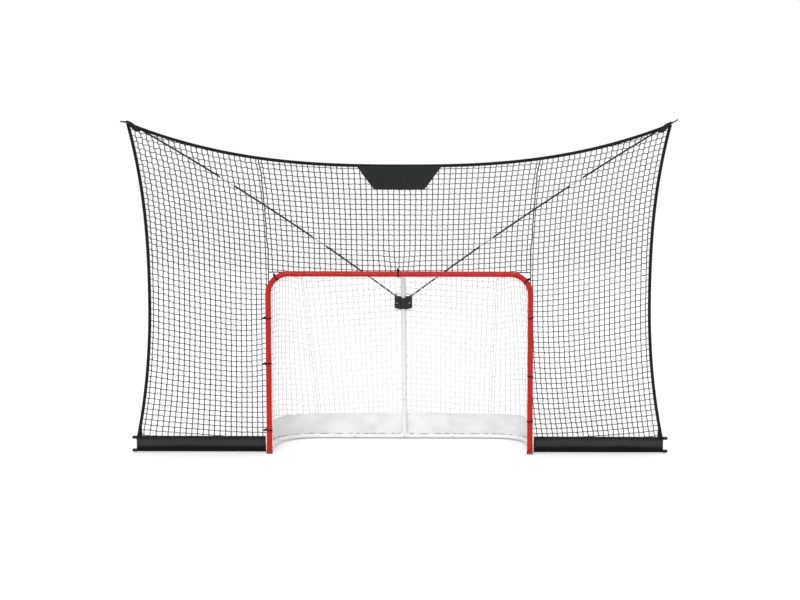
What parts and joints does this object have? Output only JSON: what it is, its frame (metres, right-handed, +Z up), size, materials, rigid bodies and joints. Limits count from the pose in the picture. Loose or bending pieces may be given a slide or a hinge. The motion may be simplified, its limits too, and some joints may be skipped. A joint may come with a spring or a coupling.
{
  "type": "hockey goal",
  "caption": "Hockey goal with red posts, white base and centre bar, white net and skirt, and a black backstop net on bowed rods with foot panels beside the posts.",
  "frame": {"origin": "on the floor, under the middle of the whole box", "axes": "+X to the right seen from the front of the mouth, +Y to the back of the goal, +Z up"},
  "size_m": [3.776, 0.5765, 2.277],
  "materials": {
    "red_paint": "gloss powder coat",
    "white_paint": "gloss powder coat",
    "zinc_steel": "zinc plated",
    "cap_rubber": "matt",
    "hub_plastic": "moulded satin",
    "rod_fibreglass": "satin",
    "black_cord": "knotted twine",
    "black_webbing": "woven",
    "black_cloth": "woven",
    "white_cord": "knotted twine",
    "white_cloth": "woven"
  },
  "bodies": {
    "goal": {"corner_tube_left": "red_paint", "corner_tube_right": "red_paint", "crossbar_tube": "red_paint", "foot_cap_left": "cap_rubber", "foot_cap_right": "cap_rubber", "base_tube_left": "white_paint", "base_tube_right": "white_paint", "base_tube_rear": "white_paint", "centre_bar_upper": "white_paint", "centre_bar_lower": "white_paint", "top_bolt": "zinc_steel", "saddle_bolt": "zinc_steel", "hub_front": "hub_plastic", "hub_rear": "hub_plastic", "hub_bolt_left": "zinc_steel", "hub_bolt_right": "zinc_steel", "upper_rod_left_inner": "rod_fibreglass", "upper_rod_left_middle": "rod_fibreglass", "upper_rod_left_outer": "rod_fibreglass", "upper_rod_right_inner": "rod_fibreglass", "upper_rod_right_middle": "rod_fibreglass", "upper_rod_right_outer": "rod_fibreglass", "lower_rod_left_top": "rod_fibreglass", "lower_rod_left_bottom": "rod_fibreglass", "lower_rod_right_top": "rod_fibreglass", "lower_rod_right_bottom": "rod_fibreglass", "rod_bracket_left": "hub_plastic", "rod_bracket_right": "hub_plastic", "bracket_screw_left": "zinc_steel", "bracket_screw_right": "zinc_steel", "foot_panel_left": "black_cloth", "foot_panel_right": "black_cloth", "backstop_net_left": "black_cord", "backstop_net_centre": "black_cord", "backstop_net_right": "black_cord", "backstop_binding": "black_webbing", "corner_pocket_left": "black_cloth", "corner_pocket_right": "black_cloth", "banner": "black_cloth", "strap_left_high": "black_webbing", "strap_left_middle": "black_webbing", "strap_left_low": "black_webbing", "strap_right_high": "black_webbing", "strap_right_middle": "black_webbing", "strap_right_low": "black_webbing", "strap_crossbar": "black_webbing", "strap_corner_left": "black_webbing", "strap_corner_right": "black_webbing", "goal_net_left": "white_cord", "goal_net_right": "white_cord", "goal_net_roof": "white_cord", "goal_net_back": "white_cord", "skirt": "white_cloth"},
    "crossbar_snap_left": {"crossbar_button_left": "zinc_steel"},
    "crossbar_snap_right": {"crossbar_button_right": "zinc_steel"},
    "base_rear_snap_left": {"base_rear_button_left": "zinc_steel"},
    "base_rear_snap_right": {"base_rear_button_right": "zinc_steel"},
    "base_side_snap_left": {"base_side_button_left": "zinc_steel"},
    "base_side_snap_right": {"base_side_button_right": "zinc_steel"},
    "bar_snap": {"bar_button": "zinc_steel"}
  },
  "joints": [
    {"name": "press_crossbar_left", "type": "slide", "parent": "goal", "child": "crossbar_snap_left", "axis": [0, 1, 0], "range_m": [0, 0.005], "stiffness_N_per_m": 3000, "springref_m": -0.002},
    {"name": "press_crossbar_right", "type": "slide", "parent": "goal", "child": "crossbar_snap_right", "axis": [0, 1, 0], "range_m": [0, 0.005], "stiffness_N_per_m": 3000, "springref_m": -0.002},
    {"name": "press_base_rear_left", "type": "slide", "parent": "goal", "child": "base_rear_snap_left", "axis": [0, 1, 0], "range_m": [0, 0.005], "stiffness_N_per_m": 3000, "springref_m": -0.002},
    {"name": "press_base_rear_right", "type": "slide", "parent": "goal", "child": "base_rear_snap_right", "axis": [0, 1, 0], "range_m": [0, 0.005], "stiffness_N_per_m": 3000, "springref_m": -0.002},
    {"name": "press_base_side_left", "type": "slide", "parent": "goal", "child": "base_side_snap_left", "axis": [-1, 0, 0], "range_m": [0, 0.005], "stiffness_N_per_m": 3000, "springref_m": -0.002},
    {"name": "press_base_side_right", "type": "slide", "parent": "goal", "child": "base_side_snap_right", "axis": [1, 0, 0], "range_m": [0, 0.005], "stiffness_N_per_m": 3000, "springref_m": -0.002},
    {"name": "press_bar", "type": "slide", "parent": "goal", "child": "bar_snap", "axis": [0, 0.996, 0.089], "range_m": [0, 0.005], "stiffness_N_per_m": 3000, "springref_m": -0.002}
  ]
}
